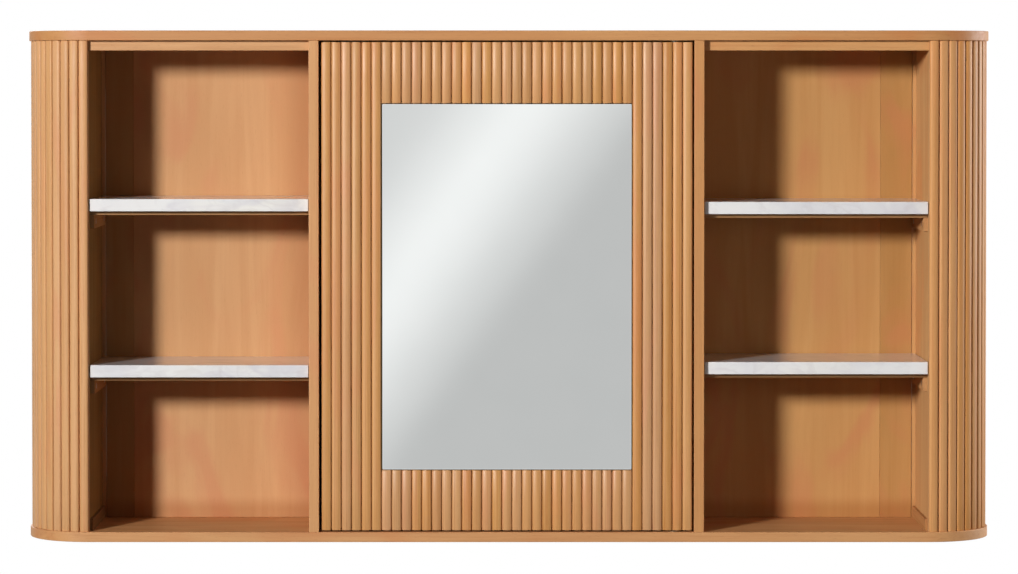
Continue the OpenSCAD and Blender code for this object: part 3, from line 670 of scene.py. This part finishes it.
def worked_metal(name, colour, low, high):
    """Bare metal with a worked surface, whose roughness runs from low to high."""
    material, tree, shader = new_material(name)
    place = place_along(tree, "Z")
    brushed = add_node(tree, "Group", {"node_tree": brushed_group},
                       {"Place": place, "Low": low, "High": high})
    relief = add_node(tree, "Bump", {}, {"Height": brushed.outputs["Height"], "Strength": 0.2,
                                         "Distance": 0.00005})
    cloud = stretched_noise(tree, place, (90, 90, 90), 2.0)
    paler = [min(255, step + 14) for step in colour]
    connect(tree, shader, {
        "Base Color": blend_colours(tree, cloud, tint(*colour), tint(*paler)),
        "Roughness": brushed.outputs["Roughness"],
        "Normal": relief.outputs[0],
        "Metallic": 1.0,
    })
    return material


steel = worked_metal("zinc plated steel", (186, 190, 194), 0.22, 0.42)
for side in ("left", "right"):
    dress_node(side + "_shelf_boards", shelf_board_wood, THIN_ARRIS)
    dress_node(side + "_cleats", cleat_wood)
dress_node("cleat_screws", steel)


# Marble slabs
# Polished white marble with faint grey and cream veins. The slabs lie loose on their boards, a
# little short of the sides of the bay, and their arrises are polished round.

MARBLE_ARRIS = 0.0009


def veined_marble():
    """White marble: broad cool and warm clouds, and thin veins that wander and fade."""
    material, tree, shader = new_material("polished marble")
    place = place_along(tree, "Z")
    clouds = stretched_noise(tree, place, (9, 9, 13), 4.0, 0.55, 0.6)
    warmth = stretched_noise(tree, place, (5, 7, 9), 3.0, 0.5, 0.4)
    colour = blend_colours(tree, remap(tree, clouds, 0.35, 0.7), tint(230, 228, 226),
                           tint(218, 216, 218))
    colour = blend_colours(tree, remap(tree, warmth, 0.48, 0.72, 0.0, 0.7), colour,
                           tint(233, 228, 217))
    for scale, width, strength, vein in ((6.0, 0.050, 0.34, (190, 184, 196)),
                                         (15.0, 0.070, 0.24, (198, 190, 190)),
                                         (34.0, 0.080, 0.16, (200, 194, 196))):
        field = stretched_noise(tree, place, (scale, scale * 1.3, scale * 1.7), 3.0, 0.5, 1.4)
        centred = calculate(tree, "SUBTRACT", field, 0.5)
        ridge = add_node(tree, "Math", {"operation": "ABSOLUTE"}, {0: centred})
        line = remap(tree, ridge.outputs[0], 0.0, width, strength, 0.0)
        fade = stretched_noise(tree, place, (scale * 1.2, scale, scale), 1.0)
        share = calculate(tree, "MULTIPLY", line, remap(tree, fade, 0.42, 0.62))
        colour = blend_colours(tree, share, colour, tint(*vein))
    connect(tree, shader, {"Base Color": colour,
                           "Roughness": remap(tree, clouds, 0.3, 0.7, 0.10, 0.16)})
    return material


marble = veined_marble()
for node in ("left_upper_marble", "left_lower_marble", "right_upper_marble", "right_lower_marble"):
    dress_node(node, marble, MARBLE_ARRIS)


# Door board
# The door is one board behind the reeds, oiled on its back and edges. Plates, pins and the
# strike plate are let into it.

door_tones = ((206, 158, 110), (196, 146, 98), (170, 116, 70), (198, 136, 90))
door_wood = oiled_wood("door board wood", "Z", 61.4, door_tones, patches=0.5, figure=0.5)
dress_node("door_panel", door_wood)


# Reeds of the door
# The same kind of reeds, six either side of the mirror and twenty-five short ones above and
# below it, glued to the board.

DOOR_REEDS = 37
REEDS_BESIDE_MIRROR = 6
panel_low, panel_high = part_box("door_panel")
DOOR_PITCH = (panel_high.x - panel_low.x) / DOOR_REEDS
DOOR_REED_RADIUS = (DOOR_PITCH - REED_GAP) / 2

door_reed_tones = ((203, 150, 97), (195, 141, 88), (174, 115, 64), (202, 134, 90))
door_reed_wood = reed_wood("door reed wood", door_reed_tones, spread=0.9, shine=0.36)
rows = {
    "door_left_reeds": range(0, REEDS_BESIDE_MIRROR),
    "door_right_reeds": range(DOOR_REEDS - REEDS_BESIDE_MIRROR, DOOR_REEDS),
    "door_top_reeds": range(REEDS_BESIDE_MIRROR, DOOR_REEDS - REEDS_BESIDE_MIRROR),
    "door_bottom_reeds": range(REEDS_BESIDE_MIRROR, DOOR_REEDS - REEDS_BESIDE_MIRROR),
}
for node, numbers in rows.items():
    low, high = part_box(node)
    rod = reed_rod("door_rod", DOOR_REED_RADIUS, high.z - low.z)
    reeds = []
    for i in numbers:
        where = Vector((panel_low.x + (i + 0.5) * DOOR_PITCH, panel_low.y, low.z))
        reeds.append(glue_reed(rod, DOOR_REED_RADIUS, where, 0.0, chance.uniform(1, 40)))
    piece = join_reeds(node + "_oiled", reeds, rod)
    finish_piece(piece, "door", "reeds", door_reed_wood, node)


# Mirror and its tape
# Four millimetre glass, silvered and painted on its back, with ground edges. Foam tape holds
# it to the door's board, and a fine gap shows all round it.

GLASS_ARRIS = 0.0006


def silvered_glass():
    """The silver seen through the glass, a little green, with a very faint haze."""
    material, tree, shader = new_material("silvered glass")
    haze = stretched_noise(tree, place_along(tree, "Z"), (14, 14, 14), 2.0)
    connect(tree, shader, {
        "Base Color": blend_colours(tree, haze, tint(244, 247, 246), tint(249, 251, 250)),
        "Roughness": remap(tree, haze, 0.3, 0.7, 0.0, 0.012),
        "Metallic": 1.0,
    })
    return material


def ground_edge():
    """The green-grey edge of the glass."""
    material, tree, shader = new_material("ground glass edge")
    cloud = stretched_noise(tree, place_along(tree, "Z"), (400, 400, 400), 2.0)
    connect(tree, shader, {
        "Base Color": blend_colours(tree, cloud, tint(96, 118, 108), tint(120, 140, 130)),
        "Roughness": remap(tree, cloud, 0.3, 0.7, 0.2, 0.35),
    })
    return material


low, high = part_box("mirror_glass")
mirror = block("mirror", low, high)
ease_arrises(mirror, GLASS_ARRIS)
finish_piece(mirror, "door", "mirror", silvered_glass(), "mirror_glass")
mirror.data.materials.append(ground_edge())
pick(mirror, "FACE", lambda face: face.normal.y > -0.9)
mirror.active_material_index = 1
bpy.ops.object.material_slot_assign()
bpy.ops.object.mode_set(mode="OBJECT")


def soft_plastic(name, first, second, low, high, grain=900):
    """Moulded or foamed plastic with a fine texture, whose roughness runs from low to high."""
    material, tree, shader = new_material(name)
    speck = stretched_noise(tree, place_along(tree, "Z"), (grain, grain, grain), 3.0)
    relief = add_node(tree, "Bump", {}, {"Height": speck, "Strength": 0.25, "Distance": 0.00005})
    connect(tree, shader, {
        "Base Color": blend_colours(tree, speck, tint(*first), tint(*second)),
        "Roughness": remap(tree, speck, 0.3, 0.7, low, high),
        "Normal": relief.outputs[0],
    })
    return material


dress_node("mirror_tape", soft_plastic("foam tape", (70, 72, 74), (86, 88, 90), 0.8, 0.95, 1500))


# Pivots
# A blackened plate with a pin is let into the top and bottom edge of the door. The pins turn in
# dark bronze bushes in the boards, and a black nylon washer carries the door's weight.

dark_steel = worked_metal("blackened steel", (84, 80, 76), 0.3, 0.5)
dress_node("pivot_plates", dark_steel)
dress_node("pivot_pins", dark_steel)
dress_node("pivot_plate_screws", dark_steel)
dress_node("pivot_bushes", worked_metal("dark bronze", (118, 96, 72), 0.25, 0.45))
dress_node("pivot_washer", soft_plastic("black nylon", (38, 38, 38), (52, 52, 52), 0.35, 0.5))


# Push latch
# A grey housing screwed under the top board holds a sprung white plunger with a magnet at its
# tip, and the door carries a small steel strike plate for it.

grey_plastic = soft_plastic("grey plastic", (150, 151, 153), (166, 167, 169), 0.4, 0.55)
white_plastic = soft_plastic("white plastic", (224, 224, 220), (234, 234, 230), 0.35, 0.5)
dress_node("latch_housing", grey_plastic)
dress_node("latch_plunger", white_plastic)
dress_node("latch_magnet", worked_metal("nickel", (196, 192, 184), 0.15, 0.3))
for node in ("latch_screws", "strike_plate", "strike_screws", "latch_spring"):
    dress_node(node, steel)


# Inner shelves, shelf pins and dowels
# Two loose wooden shelves stand behind the door on steel pins. The dowels between boards and
# uprights can't be seen once the case is glued.

INNER_SHELF_ARRIS = 0.0006

inner_shelf_tones = ((208, 160, 112), (199, 149, 101), (174, 118, 74), (200, 140, 94))
inner_shelf_wood = oiled_wood("inner shelf wood", "X", 71.2, inner_shelf_tones, patches=0.5,
                              figure=0.5)
dress_node("inner_upper_shelf", inner_shelf_wood, INNER_SHELF_ARRIS)
dress_node("inner_lower_shelf", inner_shelf_wood, INNER_SHELF_ARRIS)
dress_node("shelf_pins", steel)
dress_node("case_dowels", sawn_wood)


# Studio
# The cabinet hangs in front of a white ground, lit by a soft lamp from the left and a faint one
# from the right. A pale floor lies well below, and lamps behind show its sides and back.

FLOOR_Z = -1.15
FLOOR_RADIUS = 7.5
FLOOR_FADE = (1.5, 5.5)
WHITE = (1, 1, 1, 1)


def soft_lamp(name, where, target, width, height, watts):
    """A soft lamp of a given width and height that points at a place."""
    bpy.ops.object.light_add(type="AREA", location=where)
    lamp = bpy.context.object
    lamp.name = name
    lamp.data.shape = "ELLIPSE"
    lamp.data.size = width
    lamp.data.size_y = height
    lamp.data.energy = watts
    lamp.rotation_euler = (Vector(target) - Vector(where)).to_track_quat("-Z", "Y").to_euler()


soft_lamp("key_lamp", (-2.085, -3.31, 1.20), (0.869, -2.79, 1.0), 0.75, 0.5, watts=255)
soft_lamp("side_lamp", (3.4, 0.9, 0.9), (0.6, 0.0, 0.32), 1.8, 1.8, watts=95)
soft_lamp("fill_lamp", (2.0, -1.3, 0.45), (0.35, 0.07, 0.3), 0.6, 0.6, watts=3.9)
soft_lamp("rear_lamp", (-1.6, 3.6, 2.2), (0.0, 0.08, 0.32), 1.8, 1.8, watts=100)


def seen_plainly(tree):
    """1 for what is seen straight on, in a gloss or through glass, and 0 for all other light."""
    rays = add_node(tree, "LightPath")
    settings = {"operation": "ADD", "use_clamp": True}
    seen = rays.outputs["Is Camera Ray"]
    for kind in ("Is Glossy Ray", "Is Transmission Ray"):
        seen = add_node(tree, "Math", settings, {0: seen, 1: rays.outputs[kind]}).outputs[0]
    return seen


world = bpy.data.worlds.new("studio")
bpy.context.scene.world = world
world.use_nodes = True
sky = world.node_tree
sky.nodes.clear()
dim = add_node(sky, "Background", {}, {"Color": WHITE, "Strength": 0.01})
white = add_node(sky, "Background", {}, {"Color": WHITE, "Strength": 1.0})
either = add_node(sky, "MixShader", {}, {0: seen_plainly(sky), 1: dim.outputs[0],
                                         2: white.outputs[0]})
add_node(sky, "OutputWorld", {}, {0: either.outputs[0]})


def pale_floor():
    """A floor that stays pale, takes a soft shadow near its middle and turns white far out."""
    material, tree, shader = new_material("pale floor")
    connect(tree, shader, {"Base Color": (0.1, 0.1, 0.1, 1), "Roughness": 0.9,
                           "Specular IOR Level": 0.0})
    glow = add_node(tree, "Emission", {}, {"Color": WHITE, "Strength": 0.85})
    shade = add_node(tree, "BsdfDiffuse", {}, {"Color": (0.25, 0.25, 0.25, 1)})
    both = add_node(tree, "AddShader", {}, {0: glow.outputs[0], 1: shade.outputs[0]})
    coords = add_node(tree, "TexCoord")
    distance = add_node(tree, "VectorMath", {"operation": "LENGTH"}, {0: coords.outputs["Object"]})
    far = remap(tree, distance.outputs["Value"], *FLOOR_FADE)
    white = add_node(tree, "Emission", {}, {"Color": WHITE, "Strength": 1.0})
    faded = add_node(tree, "MixShader", {}, {0: far, 1: both.outputs[0], 2: white.outputs[0]})
    mix = add_node(tree, "MixShader", {}, {0: seen_plainly(tree), 1: shader.outputs[0],
                                           2: faded.outputs[0]})
    connect(tree, tree.nodes["Material Output"], {0: mix.outputs[0]})
    return material


bpy.ops.mesh.primitive_circle_add(vertices=96, radius=FLOOR_RADIUS, fill_type="NGON",
                                  location=(0, 0, FLOOR_Z))
floor = bpy.context.object
floor.name = "floor"
bpy.ops.object.transform_apply(location=True, rotation=True, scale=True)
floor.data.materials.append(pale_floor())


# Reflection card
# A big pale card with one bright band slanting across it stands behind the camera. It shows
# only in the mirror and in other gloss.

CAMERA_Y = -4.5862
CAMERA_Z = 0.57258
MIRROR_Y = -0.0819
CARD_Y = -5.6
CARD_Z = 0.2
CARD_SIZE = 2.6
CARD_GLOW = 1.06
BAND_X = 0.0138
BAND_Z = 0.5497
BAND_STEP = 0.0012533
ACROSS_BAND = (0.81, 0, -0.586)
BAND_GREYS = ((-180, 208), (-105, 210), (-84, 212), (-61, 219), (-41, 229), (-20, 237), (2, 245),
              (26, 239), (49, 228), (70, 216), (90, 207), (110, 193), (130, 190), (320, 190))


def banded_card():
    """Greys in steps across the band, sized so that the mirror shows each at its place."""
    material, tree, shader = new_material("reflection card")
    tree.nodes.remove(shader)
    reach = (CARD_Y - MIRROR_Y) / (CAMERA_Y - MIRROR_Y) + 1
    middle = (BAND_X * reach, 0, CAMERA_Z + (BAND_Z - CAMERA_Z) * reach)
    first = BAND_GREYS[0][0]
    last = BAND_GREYS[-1][0]
    coords = add_node(tree, "TexCoord")
    from_band = add_node(tree, "VectorMath", {"operation": "SUBTRACT"},
                         {0: coords.outputs["Object"], 1: middle})
    across = add_node(tree, "VectorMath", {"operation": "DOT_PRODUCT"},
                      {0: from_band.outputs[0], 1: ACROSS_BAND})
    share = add_node(tree, "MapRange", {}, {"Value": across.outputs["Value"],
                                            "From Min": first * BAND_STEP * reach,
                                            "From Max": last * BAND_STEP * reach})
    ramp = add_node(tree, "ValToRGB", {}, {0: share.outputs[0]})
    ramp.color_ramp.interpolation = "B_SPLINE"
    for number, (step, grey) in enumerate(BAND_GREYS):
        spot = (step - first) / (last - first)
        if number < 2:
            stop = ramp.color_ramp.elements[number]
            stop.position = spot
        else:
            stop = ramp.color_ramp.elements.new(spot)
        stop.color = tint(grey, grey, grey)
    glow = add_node(tree, "Emission", {}, {"Color": ramp.outputs[0], "Strength": CARD_GLOW})
    connect(tree, tree.nodes["Material Output"], {0: glow.outputs[0]})
    return material


bpy.ops.mesh.primitive_plane_add(size=1, location=(0, 0, 0))
card = bpy.context.object
card.name = "reflection_card"
card.scale = (CARD_SIZE, CARD_SIZE, 1)
card.rotation_euler = (math.radians(90), 0, 0)
card.location = (0, CARD_Y, CARD_Z)
bpy.ops.object.transform_apply(location=True, rotation=True, scale=True)
card.data.materials.append(banded_card())
card.visible_camera = False
card.visible_diffuse = False
card.visible_shadow = False


# Camera
# It looks at the front from a little above the middle, tipped down slightly, and from far
# enough away to see the bays almost straight on.

CAMERA_TILT = math.radians(90 - 1.267)

bpy.ops.object.camera_add(location=(0, CAMERA_Y, CAMERA_Z), rotation=(CAMERA_TILT, 0, 0))
camera = bpy.context.object
camera.data.lens = 127.343
camera.data.sensor_width = 36
camera.data.shift_x = 0.0001
camera.data.shift_y = -0.12
camera.data.clip_end = 100
bpy.context.scene.camera = camera
bpy.context.scene.view_settings.view_transform = "Standard"
